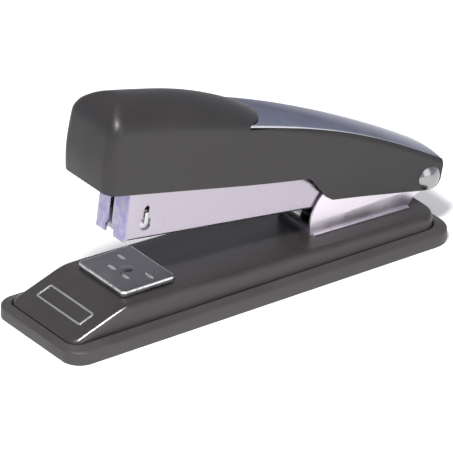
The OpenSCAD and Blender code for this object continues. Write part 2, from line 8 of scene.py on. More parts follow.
import bmesh
import bpy
import numpy as np
from mathutils import Matrix, Vector


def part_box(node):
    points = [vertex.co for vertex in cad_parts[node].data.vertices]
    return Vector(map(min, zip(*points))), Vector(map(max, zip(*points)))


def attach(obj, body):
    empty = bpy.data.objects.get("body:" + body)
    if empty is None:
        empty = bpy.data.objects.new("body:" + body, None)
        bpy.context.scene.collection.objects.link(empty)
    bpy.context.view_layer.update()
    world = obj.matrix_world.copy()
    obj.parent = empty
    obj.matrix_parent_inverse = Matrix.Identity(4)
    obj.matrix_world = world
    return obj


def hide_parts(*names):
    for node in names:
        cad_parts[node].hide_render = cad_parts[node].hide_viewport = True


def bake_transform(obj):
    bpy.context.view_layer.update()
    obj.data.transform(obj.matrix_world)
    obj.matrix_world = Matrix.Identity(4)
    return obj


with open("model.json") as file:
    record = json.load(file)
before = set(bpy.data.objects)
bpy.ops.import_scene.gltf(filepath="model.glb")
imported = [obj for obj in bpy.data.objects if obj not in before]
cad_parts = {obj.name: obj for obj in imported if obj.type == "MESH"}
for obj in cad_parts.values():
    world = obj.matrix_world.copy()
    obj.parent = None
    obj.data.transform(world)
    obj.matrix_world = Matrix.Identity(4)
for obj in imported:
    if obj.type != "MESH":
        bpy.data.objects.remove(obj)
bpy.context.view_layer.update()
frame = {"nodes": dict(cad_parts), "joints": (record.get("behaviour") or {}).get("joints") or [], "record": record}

# ---------- driving sizes, in millimetres ----------
MM = 0.001
JOINTS = {joint["name"]: joint for joint in frame["joints"]}
PIVOT = Vector(JOINTS["magazine_hinge"]["pos_m"])
ANVIL = Vector(JOINTS["anvil_turn"]["pos_m"])
SHOE_LOW, SHOE_HIGH = [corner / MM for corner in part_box("base_shoe")]
SHELL_LOW, SHELL_HIGH = [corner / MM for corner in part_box("base_shell")]
PX, PZ = PIVOT.x / MM, PIVOT.z / MM

MAGAZINE_TILT = math.radians(7.8)
COVER_TILT = math.radians(12.5)
IN_BASE = Matrix.Scale(MM, 4)
IN_MAGAZINE = Matrix.Translation(PIVOT) @ Matrix.Rotation(MAGAZINE_TILT, 4, "Y") @ IN_BASE
IN_COVER = Matrix.Translation(PIVOT) @ Matrix.Rotation(COVER_TILT, 4, "Y") @ IN_BASE
IN_ANVIL = Matrix.Translation(ANVIL) @ IN_BASE

# Base
BASE_TAPER = 2.4
RAMP_FOOT_X = SHELL_LOW.x
RAMP_FOOT_Z = 6.3
RAMP_RUN = 21.7
RAMP_TOP_X = RAMP_FOOT_X + RAMP_RUN
DECK_FRONT_Z = 14.1
DECK_FALL = math.radians(1.7)
DECK_HALF = SHELL_HIGH.y
RAMP_ANGLE = math.atan((DECK_FRONT_Z - RAMP_FOOT_Z) / RAMP_RUN)
DECK_EDGE_R = 2.0
DECK_FRONT_R, DECK_REAR_R = 4.0, 6.0
DECK_T = 1.0
ROOF_BEND = 0.8
SHOE_FLOOR = 2.2
SHOE_FRONT_R, SHOE_REAR_R = 7.0, 9.0
GROOVE = 0.4
SCREW_Y = 13.5
SCREW_FROM_FRONT, SCREW_FROM_REAR = 22.0, 18.0
SCREW_HEAD_R, SCREW_HOLE_R, SCREW_HEAD_DEPTH = 3.2, 1.7, 1.2
BUTTON_HOLE_R = 6.1

# Blank plate on the ramp
NAME_HALF_LONG, NAME_HALF_WIDE, NAME_RIM = 3.4, 13.0, 0.7
NAME_UP_RAMP = 10.6

# Anvil
ANVIL_EDGE = 0.45
ANVIL_NOTCH = 0.7
ANVIL_RIM = 0.8
ANVIL_PLATE_T = 1.0
POCKETS = ((-3.4, 4.0), (3.4, 8.4))  # where each row stands in X, and how far out its grooves lie
POCKET_HALF_LONG, POCKET_HALF_WIDE, POCKET_DEPTH = 2.5, 0.85, 0.62

# Hinge
BRACKET_FRONT, BRACKET_REAR = PX - 49.1, PX - 8.2
BRACKET_T = 0.9
PIN_R, PIN_HEAD_R, PIN_DOME = 2.5, 4.4, 1.65

# Magazine
MAG_FRONT = -125.5
MAG_FLOOR = -5.3
MAG_HALF = 8.5
MAG_T = 0.9
MAG_BEND = 1.3
MAG_TOP_FRONT = 12.0
MAG_TOP_REAR = 6.0
MAG_TOP_LINE = ((MAG_FRONT, MAG_TOP_FRONT), (MAG_FRONT + 14, MAG_TOP_FRONT), (-45, MAG_TOP_REAR),
                (-3, MAG_TOP_REAR - 1.5))
MAG_EAR_R = 4.5

FEED_FRONT = -122.4
RAIL_TOP = 2.6
RAIL_REAR = -34.0
ROD_Z = -0.6
STAPLE_HALF = 6.4
STAPLE_LEG = 6.0
STRIP_FRONT = -122.3
STRIP_LENGTH = 40.0
STAPLE_COUNT = 72
STAPLE_WIRE = 0.5
PUSHER_FRONT = STRIP_FRONT + STRIP_LENGTH + 0.1
PUSHER_SEAT = 7.0  # how far behind the pusher's front its spring sits

# Springs: radius of the coil, radius of the wire, turns
ANVIL_COIL = (3.1, 0.4, 6)
PUSHER_COIL = (1.75, 0.35, 18)

# Cover
NOSE_X = -141.0
TAIL_X = 5.0
TONGUE_X = -84.0
TONGUE_R = 14.0
TONGUE_CENTRE = TONGUE_X - 4.6
PANEL_GAP = 0.15
HEAD_HALF = 13.75
TAIL_HALF = 11.0
COVER_T = 1.1
TAPER_RUN = 62.0
HEAD_CROWN = 7.55
LEAST_CROWN = 0.6
CROWN_FROM, CROWN_FADE = -115.0, 0.0036
EDGE_Z, EDGE_FALL = 25.9, 6.8
EDGE_BEND_HEAD, EDGE_BEND_TAIL = 5.4, 12.6
COVER_EDGE_R, LEAST_EDGE_R = 2.2, 0.5
SKIRT_TAIL = 4.4
SKIRT_LINE = ((-53.6, 4.1), (-51.6, 3.1), (-44, -3.5), (-41, -4.8), (0, -SKIRT_TAIL))
NOSE_R = 4.0
NOSE_FOOT_Z, NOSE_FLAT_LOW, NOSE_FLAT_HIGH = 2.0, 19.0, 24.0
NOSE_UNDERCUT, NOSE_UNDERCUT_RUN = 2.2, 15.0
NOSE_BROW_R = 12.0
NOSE_FADE_RUN = 22.0
PANEL_INSET = 0.15
PANEL_TAPER, PANEL_TAPER_FROM, PANEL_TAPER_RUN = 4.2, -90.0, 72.0
PANEL_PROUD, PANEL_CROWN = 0.25, 0.6
PANEL_T = 1.25

# ---------- small curves ----------


def ease(t):
    """Smooth step from 0 to 1."""
    s = np.clip(t, 0, 1)
    return s * s * (3 - 2 * s)


def arc(centre, radius, a0, a1, steps):
    """Points of an arc, with angles in degrees."""
    angles = np.radians(np.linspace(a0, a1, steps + 1))
    return [(centre[0] + radius * math.cos(a), centre[1] + radius * math.sin(a)) for a in angles]


def rounding(d, radius):
    """How far a corner of that radius stands in from its edge, a distance d along."""
    d = min(max(d, 0), radius)
    return radius - math.sqrt(radius * radius - (radius - d) ** 2)


def deck_z(x):
    return DECK_FRONT_Z - (x - RAMP_TOP_X) * math.tan(DECK_FALL)


def roof_z(x):
    """Height of the ramp and the deck, with the soft bend between them."""
    ramp = RAMP_FOOT_Z + (x - RAMP_FOOT_X) * math.tan(RAMP_ANGLE)
    return (ramp + deck_z(x) - math.sqrt((ramp - deck_z(x)) ** 2 + ROOF_BEND)) / 2


def cover_half(x):
    """Half the cover's width: full at the head, then tapering to the tail."""
    return HEAD_HALF - (HEAD_HALF - TAIL_HALF) * float(ease((x - TONGUE_X) / TAPER_RUN))


def edge_z(x):
    """Height of the edge between the cover's side and its top."""
    t = (x - TONGUE_X) / (TAIL_X - TONGUE_X)
    return EDGE_Z - EDGE_FALL * t - (EDGE_BEND_HEAD if t < 0 else EDGE_BEND_TAIL) * t * t


def crown(x):
    """How far the middle of the cover's top stands above its edges."""
    return max(LEAST_CROWN, HEAD_CROWN - CROWN_FADE * max(0, x - CROWN_FROM) ** 2)


def panel_half(x):
    return HEAD_HALF - PANEL_INSET - PANEL_TAPER * float(ease((x - PANEL_TAPER_FROM) / PANEL_TAPER_RUN))


def nose_lean(z):
    """How far the nose stands back: undercut below, upright in the middle and round above."""
    if z < NOSE_FLAT_LOW:
        return NOSE_UNDERCUT * ((NOSE_FLAT_LOW - max(z, NOSE_FOOT_Z)) / NOSE_UNDERCUT_RUN) ** 2
    return NOSE_BROW_R - math.sqrt(NOSE_BROW_R ** 2 - min(NOSE_BROW_R, max(0, z - NOSE_FLAT_HIGH)) ** 2)


def skirt_z(x):
    """The cover's lower edge: straight under the head, stepped down over the bracket, round at the tail."""
    if x <= 0:
        return float(np.interp(x, *zip(*SKIRT_LINE)))
    return -SKIRT_TAIL * math.sqrt(max(0, 1 - (x / TAIL_X) ** 2))


# ---------- making meshes ----------


def finish_mesh(obj, matrix, sharp=35):
    """Moves the mesh into the frame, turns its faces outwards and shades it smooth up to an angle."""
    mesh = obj.data
    mesh.transform(matrix)
    work = bmesh.new()
    work.from_mesh(mesh)
    bmesh.ops.remove_doubles(work, verts=work.verts, dist=2e-6)
    bmesh.ops.dissolve_degenerate(work, edges=work.edges, dist=1e-7)
    bmesh.ops.recalc_face_normals(work, faces=work.faces)
    work.to_mesh(mesh)
    work.free()
    mesh.shade_smooth()
    mesh.set_sharp_from_angle(angle=math.radians(sharp))
    return obj


def add_mesh(name, points, faces, matrix=IN_BASE, sharp=35):
    mesh = bpy.data.meshes.new(name)
    mesh.from_pydata([tuple(p) for p in points], [], faces)
    obj = bpy.data.objects.new(name, mesh)
    bpy.context.scene.collection.objects.link(obj)
    return finish_mesh(obj, matrix, sharp)


def settle(obj):
    """Applies the object's modifiers."""
    seen = obj.evaluated_get(bpy.context.evaluated_depsgraph_get())
    mesh = bpy.data.meshes.new_from_object(seen)
    obj.modifiers.clear()
    old, obj.data = obj.data, mesh
    mesh.name = obj.name
    bpy.data.meshes.remove(old)
    return obj


def bevel(obj, width, segments):
    """Rounds every edge sharper than 50 degrees."""
    limit = math.radians(50)
    step = obj.modifiers.new("bevel", "BEVEL")
    step.width = width * MM
    step.segments = segments
    step.limit_method = "ANGLE"
    step.angle_limit = limit
    step.use_clamp_overlap = True
    step.miter_outer = "MITER_ARC"
    settle(obj)
    obj.data.shade_smooth()
    obj.data.set_sharp_from_angle(angle=limit)


def cut(obj, *cutters):
    """Takes the cutters away from obj."""
    for cutter in cutters:
        step = obj.modifiers.new("cut", "BOOLEAN")
        step.operation = "DIFFERENCE"
        step.solver = "EXACT"
        step.object = cutter
        settle(obj)
        bpy.data.objects.remove(cutter)
    return obj


def join(name, *parts):
    """One object from several meshes that are already in the frame."""
    work = bmesh.new()
    for part in parts:
        work.from_mesh(part.data)
    mesh = bpy.data.meshes.new(name)
    work.to_mesh(mesh)
    work.free()
    for part in parts:
        bpy.data.objects.remove(part)
    obj = bpy.data.objects.new(name, mesh)
    bpy.context.scene.collection.objects.link(obj)
    mesh.shade_smooth()
    mesh.set_sharp_from_angle(angle=math.radians(40))
    return obj


def flatten(rings):
    return [point for ring in rings for point in ring]


def quads(start, laps, count, closed):
    """Faces between rings of points that are stored one after another; closed rings end where they start."""
    faces = []
    for a in range(start, start + laps * count, count):
        faces += [(a + i, a + (i + 1) % count, a + count + (i + 1) % count, a + count + i)
                  for i in range(count if closed else count - 1)]
    return faces


def across(start, count):
    """Faces across one ring, from its first half to its second."""
    return [(start + i, start + i + 1, start + count - 2 - i, start + count - 1 - i)
            for i in range(count // 2 - 1)]


def loft(name, rings, matrix=IN_BASE, sharp=35):
    """Skin over closed rings with as many points each, capped at both ends."""
    count, last = len(rings[0]), (len(rings) - 1) * len(rings[0])
    caps = [tuple(range(count)), tuple(range(last + count - 1, last - 1, -1))]
    return add_mesh(name, flatten(rings), quads(0, len(rings) - 1, count, True) + caps, matrix, sharp)


def folded(name, rings, matrix):
    """Sheet folded from rings that run along its outside and back along its inside, closed at both ends."""
    count, last = len(rings[0]), (len(rings) - 1) * len(rings[0])
    faces = quads(0, len(rings) - 1, count, True) + across(0, count) + across(last, count)
    return add_mesh(name, flatten(rings), faces, matrix, 40)


def shell(name, outer, inner, matrix, sharp, walled=False):
    """Thin shell that is open below: two sets of arched rings, joined round their rims.

    Each ring runs from one lower edge over the top to the other. A wall closes the first rings, and a second
    one closes the last rings if the shell is walled.
    """
    count, last, base = len(outer[0]), (len(outer) - 1) * len(outer[0]), len(outer) * len(outer[0])
    ends = (0, last) if walled else (0,)
    faces = []
    for start in (0, base):
        faces += quads(start, len(outer) - 1, count, False)
        for end in ends:
            faces += across(start + end, count)
    for side in (0, count - 1):
        for a in range(side, side + last, count):
            faces.append((a, a + count, base + a + count, base + a))
    if not walled:
        faces += [(last + i, last + i + 1, base + last + i + 1, base + last + i) for i in range(count - 1)]
    for end in ends:
        faces.append((end, end + count - 1, base + end + count - 1, base + end))
    return add_mesh(name, flatten(outer) + flatten(inner), faces, matrix, sharp)


def plate(name, outlines, thickness, matrix, edge=0.12, steps=2):
    """Flat plate with rounded edges from an outline and its holes, from z = 0 up by the thickness."""
    curve = bpy.data.curves.new(name, "CURVE")
    curve.dimensions = "2D"
    curve.fill_mode = "BOTH"
    curve.extrude = thickness / 2 - edge
    curve.bevel_depth = edge
    curve.bevel_resolution = steps
    curve.offset = -edge
    for outline in outlines:
        line = curve.splines.new("POLY")
        line.points.add(len(outline) - 1)
        for point, (x, y) in zip(line.points, outline):
            point.co = (x, y, 0, 1)
        line.use_cyclic_u = True
    holder = bpy.data.objects.new(name + "_line", curve)
    bpy.context.scene.collection.objects.link(holder)
    mesh = bpy.data.meshes.new_from_object(holder.evaluated_get(bpy.context.evaluated_depsgraph_get()))
    bpy.data.objects.remove(holder)
    mesh.name = name
    mesh.transform(Matrix.Translation((0, 0, thickness / 2)))
    obj = bpy.data.objects.new(name, mesh)
    bpy.context.scene.collection.objects.link(obj)
    return finish_mesh(obj, matrix)


def lathe(name, profile, matrix, steps=48):
    """Solid of revolution about Z from (radius, height) points that start and end on the axis."""
    rings = [[(r * math.cos(a), r * math.sin(a), z)
              for a in np.linspace(0, 2 * math.pi, steps, endpoint=False)] for r, z in profile]
    return loft(name, rings, matrix)


def wire(name, points, radius, matrix, sides):
    """Round wire along a line of points, with frames carried along it so that it doesn't twist."""
    points = [Vector(p) for p in points]
    rings = []
    normal = None
    for k, point in enumerate(points):
        tangent = (points[min(k + 1, len(points) - 1)] - points[max(k - 1, 0)]).normalized()
        if normal is None:
            normal = tangent.orthogonal()
        normal = (normal - tangent * normal.dot(tangent)).normalized()
        side = tangent.cross(normal)
        rings.append([point + radius * (math.cos(a) * normal + math.sin(a) * side)
                      for a in np.linspace(0, 2 * math.pi, sides, endpoint=False)])
    return loft(name, rings, matrix)


def wall_matrix(parent, y, side=1):
    """Sets a plate drawn in X and Z upright, its first face at y and its thickness towards the given side."""
    return parent @ Matrix(((1, 0, 0, 0), (0, 0, side, y), (0, 1, 0, 0), (0, 0, 0, 1)))


def rounded_box(x0, x1, y0, y1, radius):
    return (arc((x1 - radius, y1 - radius), radius, 0, 90, 6)
            + arc((x0 + radius, y1 - radius), radius, 90, 180, 6)
            + arc((x0 + radius, y0 + radius), radius, 180, 270, 6)
            + arc((x1 - radius, y0 + radius), radius, 270, 360, 6))


def circle(centre, radius):
    return arc(centre, radius, 0, 360, 40)[:-1]


def put(obj, body, slot, *nodes):
    """Gives a piece its body (none if body is None) and its finish, and hides the CAD nodes it stands for."""
    if body:
        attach(obj, body)
    if nodes:
        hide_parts(*nodes)
    obj.data.materials.clear()
    obj.data.materials.append(MATERIALS[slot])


# ---------- materials ----------


class Shader:
    """A Principled material whose texture nodes work in millimetres of the frame."""

    NOISE_LOW, NOISE_HIGH = 0.3, 0.7  # where nearly all of a noise texture's values lie

    def __init__(self, name, color, roughness, metallic=0.0, **sockets):
        self.material = bpy.data.materials.new(name)
        self.material.use_nodes = True
        self.tree = self.material.node_tree
        self.out = self.tree.nodes["Principled BSDF"]
        self.out.inputs["Base Color"].default_value = (*color, 1)
        self.out.inputs["Roughness"].default_value = roughness
        self.out.inputs["Metallic"].default_value = metallic
        for socket, value in sockets.items():
            self.out.inputs[socket.replace("_", " ")].default_value = value
        self.where = self.node("ShaderNodeTexCoord").outputs["Object"]

    def node(self, kind, **settings):
        new = self.tree.nodes.new(kind)
        for key, value in settings.items():
            setattr(new, key, value)
        return new

    def link(self, a, b):
        self.tree.links.new(a, b)

    def stretched(self, scale, turn=0.0):
        """Coordinates in millimetres, divided by a grain size along each axis."""
        level = self.node("ShaderNodeMapping")
        level.inputs["Rotation"].default_value = (0, turn, 0)
        self.link(self.where, level.inputs["Vector"])
        mapping = self.node("ShaderNodeMapping")
        mapping.inputs["Scale"].default_value = [1 / (MM * s) for s in scale]
        self.link(level.outputs["Vector"], mapping.inputs["Vector"])
        return mapping.outputs["Vector"]

    def along(self, direction):
        """Distance along a direction of the frame, in metres."""
        dot = self.node("ShaderNodeVectorMath", operation="DOT_PRODUCT")
        dot.inputs[1].default_value = direction
        self.link(self.where, dot.inputs[0])
        return dot.outputs["Value"]

    def noise(self, scale, detail, turn=0.0):
        noise = self.node("ShaderNodeTexNoise")
        noise.inputs["Scale"].default_value = 1.0
        noise.inputs["Detail"].default_value = detail
        noise.inputs["Roughness"].default_value = 0.55
        self.link(self.stretched(scale, turn), noise.inputs["Vector"])
        return noise.outputs["Fac"]

    def spread(self, source, low, high, to_low=0.0, to_high=1.0):
        """Maps a value from one range to another, and holds it there."""
        span = self.node("ShaderNodeMapRange", clamp=True)
        for key, value in zip(("From Min", "From Max", "To Min", "To Max"), (low, high, to_low, to_high)):
            span.inputs[key].default_value = value
        self.link(source, span.inputs["Value"])
        return span.outputs["Result"]

    def times(self, a, b, operation="MULTIPLY"):
        """The product of two values, or what another operation makes of them."""
        math_node = self.node("ShaderNodeMath", operation=operation)
        for socket, value in zip(math_node.inputs, (a, b)):
            if isinstance(value, (int, float)):
                socket.default_value = value
            else:
                self.link(value, socket)
        return math_node.outputs["Value"]

    def color(self, factor, low, high):
        """Mixes the base colour from two, and returns the mix."""
        mix = self.node("ShaderNodeMix", data_type="RGBA")
        mix.inputs["A"].default_value = (*low, 1)
        mix.inputs["B"].default_value = (*high, 1)
        self.link(factor, mix.inputs["Factor"])
        self.link(mix.outputs["Result"], self.out.inputs["Base Color"])
        return mix

    def over(self, mix, factor, high):
        """Lays another colour over a mix where the factor is 1."""
        top = self.node("ShaderNodeMix", data_type="RGBA")
        top.inputs["B"].default_value = (*high, 1)
        self.link(mix.outputs["Result"], top.inputs["A"])
        self.link(factor, top.inputs["Factor"])
        self.link(top.outputs["Result"], self.out.inputs["Base Color"])

    def roughness(self, factor, low, high):
        level = self.spread(factor, self.NOISE_LOW, self.NOISE_HIGH, low, high)
        self.link(level, self.out.inputs["Roughness"])

    def bump(self, *layers):
        """Layers of (height 0 to 1, depth in millimetres), one on the other."""
        normal = None
        for height, depth in layers:
            bump = self.node("ShaderNodeBump")
            bump.inputs["Strength"].default_value = 1.0
            bump.inputs["Distance"].default_value = depth * MM
            self.link(height, bump.inputs["Height"])
            if normal:
                self.link(normal, bump.inputs["Normal"])
            normal = bump.outputs["Normal"]
        self.link(normal, self.out.inputs["Normal"])


def moulded_plastic(name, color, roughness, grain, depth):
    """Matte moulded plastic with a fine spark-eroded grain and faint handling marks."""
    paint = Shader(name, color, roughness, Specular_IOR_Level=0.4)
    patches = paint.noise((14, 14, 14), 4)
    fine = paint.noise((grain, grain, grain), 2)
    paint.color(patches, [c * 0.86 for c in color], [c * 1.16 for c in color])
    paint.roughness(patches, roughness - 0.06, roughness + 0.07)
    paint.bump((fine, depth), (patches, 0.02))
    return paint.material


def gloss_panel(name, color):
    """Polished panel in dark metallic lacquer, with hairline scratches and a trace of dust."""
    paint = Shader(name, color, 0.1, 1.0)
    paint.out.inputs["Specular Tint"].default_value = (0.4, 0.41, 0.47, 1)
    hairs = paint.noise((6, 0.12, 6), 5, COVER_TILT)
    haze = paint.noise((9, 9, 9), 3)
    paint.color(haze, [c * 0.85 for c in color], [c * 1.2 for c in color])
    paint.roughness(haze, 0.07, 0.16)
    paint.bump((hairs, 0.002))
    return paint.material


def enamel(name, color):
    """Satin enamel on steel: orange peel, soft stains, and a bright bare-metal line along the ramp's sides, which
    is worn paint with a painted highlight on the edge.
    """
    paint = Shader(name, color, 0.38)
    stains = paint.noise((22, 10, 10), 4)
    peel = paint.noise((0.7, 0.7, 0.7), 2)
    mix = paint.color(stains, [c * 0.8 for c in color], [c * 1.25 for c in color])
    split = paint.node("ShaderNodeSeparateXYZ")
    paint.link(paint.where, split.inputs["Vector"])
    # the paint is worn along a narrow line inside each side of the ramp, from its foot to its top, and the bright
    # metal there is also a painted edge highlight
    from_middle = paint.times(split.outputs["Y"], 0, "ABSOLUTE")
    near_edge = paint.spread(from_middle, (DECK_HALF - 1.3) * MM, (DECK_HALF - 1.05) * MM)
    inside = paint.spread(from_middle, (DECK_HALF - 0.9) * MM, (DECK_HALF - 0.65) * MM, 1, 0)
    fore = paint.spread(split.outputs["X"], (RAMP_TOP_X - 2.5) * MM, (RAMP_TOP_X + 1) * MM, 1, 0)
    aft = paint.spread(split.outputs["X"], (RAMP_FOOT_X + 2.2) * MM, (RAMP_FOOT_X + 5) * MM)
    chips = paint.spread(paint.noise((2.2, 0.3, 0.3), 4), 0.36, 0.48)
    wear_and_highlight = paint.times(paint.times(near_edge, inside), paint.times(paint.times(fore, aft), chips))
    # bright metal along the line: worn paint, and a painted highlight on the ramp's edge
    paint.over(mix, wear_and_highlight, (0.62, 0.61, 0.6))
    paint.link(paint.times(wear_and_highlight, 0.9), paint.out.inputs["Metallic"])
    paint.roughness(stains, 0.3, 0.46)
    paint.bump((peel, 0.006))
    return paint.material


def moulded_rubber(name, color):
    """Soft moulded rubber: matte, slightly dusty, with a fine pebble."""
    paint = Shader(name, color, 0.55)
    dust = paint.noise((18, 18, 6), 5)
    pebble = paint.noise((0.35, 0.35, 0.35), 3)
    paint.color(dust, [c * 0.82 for c in color], [c * 1.25 for c in color])
    paint.roughness(dust, 0.46, 0.64)
    paint.bump((pebble, 0.014))
    return paint.material


def plated(name, color, roughness, tilt, grain, depth, stain=0.1):
    """Plated or rolled sheet: brushed along its length, with faint cloudy stains."""
    metal = Shader(name, color, roughness, 1.0)
    brush = metal.noise(grain, 4, -tilt)
    cloud = metal.noise((12, 12, 12), 4)
    metal.color(cloud, [c * (1 - stain) for c in color], [min(1, c * (1 + stain)) for c in color])
    metal.roughness(cloud, roughness * 0.75, roughness * 1.35)
    metal.bump((brush, depth))
    return metal.material


def magazine_metal():
    """Nickel plate, with a painted violet reflection on the two lips at its front."""
    metal = Shader("magazine_plate", (0.5, 0.46, 0.53), 0.26, 1.0)
    brush = metal.noise((14, 0.3, 0.3), 4, -MAGAZINE_TILT)
    cloud = metal.noise((12, 12, 12), 4)
    mix = metal.color(cloud, (0.35, 0.325, 0.375), (0.41, 0.385, 0.44))
    along = Vector((math.cos(MAGAZINE_TILT), 0, -math.sin(MAGAZINE_TILT)))
    # the front lips get violet patches: painted reflection
    lips_at = along.dot(PIVOT) + (MAG_FRONT + 0.9) * MM
    lips = metal.spread(metal.along(along), lips_at - 0.3 * MM, lips_at + 0.2 * MM, 1, 0)
    patches = metal.spread(metal.noise((5, 3, 4), 2), 0.4, 0.6, 0.3, 1.0)
    metal.over(mix, metal.times(lips, patches), (0.24, 0.235, 0.4))
    metal.roughness(cloud, 0.2, 0.34)
    metal.bump((brush, 0.0002))
    return metal.material


def anvil_metal():
    """Dark blued steel, bright along its edges, where it is worn and a painted highlight is laid on, and with
    painted glints in the pockets.
    """
    metal = Shader("anvil_steel", (0.22, 0.22, 0.23), 0.3, 1.0)
    brush = metal.noise((4, 0.2, 0.2), 4)
    cloud = metal.noise((6, 6, 6), 4)
    mix = metal.color(cloud, (0.19, 0.19, 0.2), (0.29, 0.29, 0.3))
    low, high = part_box("anvil_plate")
    half_long = (high.x - low.x) / 2
    split = metal.node("ShaderNodeSeparateXYZ")
    metal.link(metal.where, split.inputs["Vector"])
    # painted highlight and wear along the plate's edges, and painted glints where it is sunk, but not down its
    # sides
    along = metal.times(metal.times(split.outputs["X"], ANVIL.x, "SUBTRACT"), 0, "ABSOLUTE")
    aside = metal.times(split.outputs["Y"], 0, "ABSOLUTE")
    end = metal.spread(along, half_long - 0.55 * MM, half_long - 0.35 * MM)
    side = metal.spread(aside, high.y - 0.55 * MM, high.y - 0.35 * MM)
    sunk = metal.spread(split.outputs["Z"], high.z - 0.3 * MM, high.z - 0.1 * MM, 1, 0)
    held = metal.spread(split.outputs["Z"], high.z - 0.8 * MM, high.z - 0.7 * MM)
    rub_and_painted_glint = metal.times(metal.times(end, side, "MAXIMUM"), metal.times(sunk, held), "MAXIMUM")
    chips = metal.spread(metal.noise((1.4, 1.4, 0.5), 4), 0.35, 0.5, 0.35, 1.0)
    # bright metal over edges and pockets: wear with a painted highlight on the edges, painted glints in the
    # pockets
    metal.over(mix, metal.times(rub_and_painted_glint, metal.times(chips, held)), (0.85, 0.84, 0.82))
    metal.roughness(cloud, 0.22, 0.4)
    metal.bump((brush, 0.002))
    return metal.material


MATERIALS = {
    "cover_plastic": moulded_plastic("cover_plastic", (0.019, 0.0175, 0.018), 0.47, 0.2, 0.008),
    "panel_gloss": gloss_panel("panel_gloss", (0.42, 0.43, 0.475)),
    "base_paint": enamel("base_paint", (0.026, 0.0235, 0.0235)),
    "shoe_rubber": moulded_rubber("shoe_rubber", (0.034, 0.0315, 0.032)),
    "magazine_plate": magazine_metal(),
    "bracket_plate": plated("bracket_plate", (0.66, 0.62, 0.68), 0.36, 0.0, (5, 0.3, 0.3), 0.0006),
    "anvil_steel": anvil_metal(),
    "pin_chrome": plated("pin_chrome", (0.31, 0.305, 0.31), 0.2, 0.0, (0.8, 0.8, 0.8), 0.001),
    "plate_trim": plated("plate_trim", (0.68, 0.68, 0.68), 0.28, 0.0, (1, 1, 1), 0.003),
    "zinc_steel": plated("zinc_steel", (0.52, 0.52, 0.54), 0.38, 0.0, (3, 0.4, 0.4), 0.004, 0.18),
    "spring_steel": plated("spring_steel", (0.42, 0.42, 0.44), 0.3, 0.0, (0.6, 0.6, 0.6), 0.003),
    "staple_wire": plated("staple_wire", (0.7, 0.7, 0.72), 0.3, MAGAZINE_TILT, (0.6, 5, 0.6), 0.004),
}

# the CAD pieces that stay take the same finishes, by their slots in the record
for node, cad_object in frame["nodes"].items():
    slot_name = next(s["material_slot"] for s in frame["record"]["subparts"] if s["node"] == node)
    cad_object.data.materials.clear()
    cad_object.data.materials.append(MATERIALS[slot_name])

# ---------- base ----------


def plan(inset, x0, x1, w0, w1, r0, r1):
    """Rounded outline in X and Y, from its front width to its rear width, all of it set in."""
    x0, x1, h0, h1 = x0 + inset, x1 - inset, w0 / 2 - inset, w1 / 2 - inset
    r0, r1 = r0 - inset, r1 - inset
    return (arc((x1 - r1, h1 - r1), r1, 0, 90, 10) + arc((x0 + r0, h0 - r0), r0, 90, 180, 10)
            + arc((x0 + r0, -h0 + r0), r0, 180, 270, 10) + arc((x1 - r1, -h1 + r1), r1, 270, 360, 10))


def make_shoe():
    """Rubber shoe: upright side, rounded shoulder, ledge up to the steel, and a groove at its foot."""
    wide = SHOE_HIGH.y - SHOE_LOW.y
    top = SHOE_HIGH.z
    # each point is (how far it is set in, its height)
    side = [(0.5, 0.0), (0.15, 0.15), (0.0, 0.5), (0.0, top - 2.0), (0.05, top - 1.75), (0.2, top - 1.45),
            (0.45, top - 1.2), (0.8, top - 1.0), (1.3, top - 0.86)]
    ledge = [(2.2, top - 0.62), (3.2, top - 0.3), (3.9, top - 0.08), (4.3, top)]
    start, end, share = side[-1][0], ledge[-1][0], 0.92
    pressing = 2 * (DECK_HALF + GROOVE)
    steel = dict(x0=SHELL_LOW.x - GROOVE, x1=SHELL_HIGH.x + GROOVE, w0=pressing, w1=pressing,
                 r0=DECK_FRONT_R + GROOVE, r1=DECK_REAR_R + GROOVE)
    shoe = dict(x0=SHOE_LOW.x, x1=SHOE_HIGH.x, w0=wide, w1=wide - BASE_TAPER, r0=SHOE_FRONT_R, r1=SHOE_REAR_R)
    rings = [[(x, y, z) for x, y in plan(inset, **shoe)] for inset, z in side]
    outer, inner = plan(start, **shoe), plan(0.0, **steel)
    for inset, z in ledge:
        t = (inset - start) / (end - start) * share
        rings.append([(a[0] + (b[0] - a[0]) * t, a[1] + (b[1] - a[1]) * t, z) for a, b in zip(outer, inner)])
    rings.append([(*p, top - 0.25) for p in inner])
    rings.append([(*p, SHOE_FLOOR) for p in inner])
    shoe_obj = loft("base_shoe_moulded", rings, sharp=50)
    button_hole = [(0, -1), (BUTTON_HOLE_R, -1), (BUTTON_HOLE_R, 4), (0, 4)]
    screw_hole = [(0, -1), (SCREW_HEAD_R, -1), (SCREW_HEAD_R, SCREW_HEAD_DEPTH),
                  (SCREW_HOLE_R, SCREW_HEAD_DEPTH), (SCREW_HOLE_R, 4), (0, 4)]
    cutters = [lathe("hole", button_hole, Matrix.Translation((ANVIL.x, 0, 0)) @ IN_BASE)]
    for x in (SHOE_LOW.x + SCREW_FROM_FRONT, SHOE_HIGH.x - SCREW_FROM_REAR):
        for y in (-SCREW_Y, SCREW_Y):
            cutters.append(lathe("hole", screw_hole, Matrix.Translation((x * MM, y * MM, 0)) @ IN_BASE))
    cut(shoe_obj, *cutters)
    shoe_obj.data.set_sharp_from_angle(angle=math.radians(40))
    put(shoe_obj, "base", "shoe_rubber", "base_shoe")


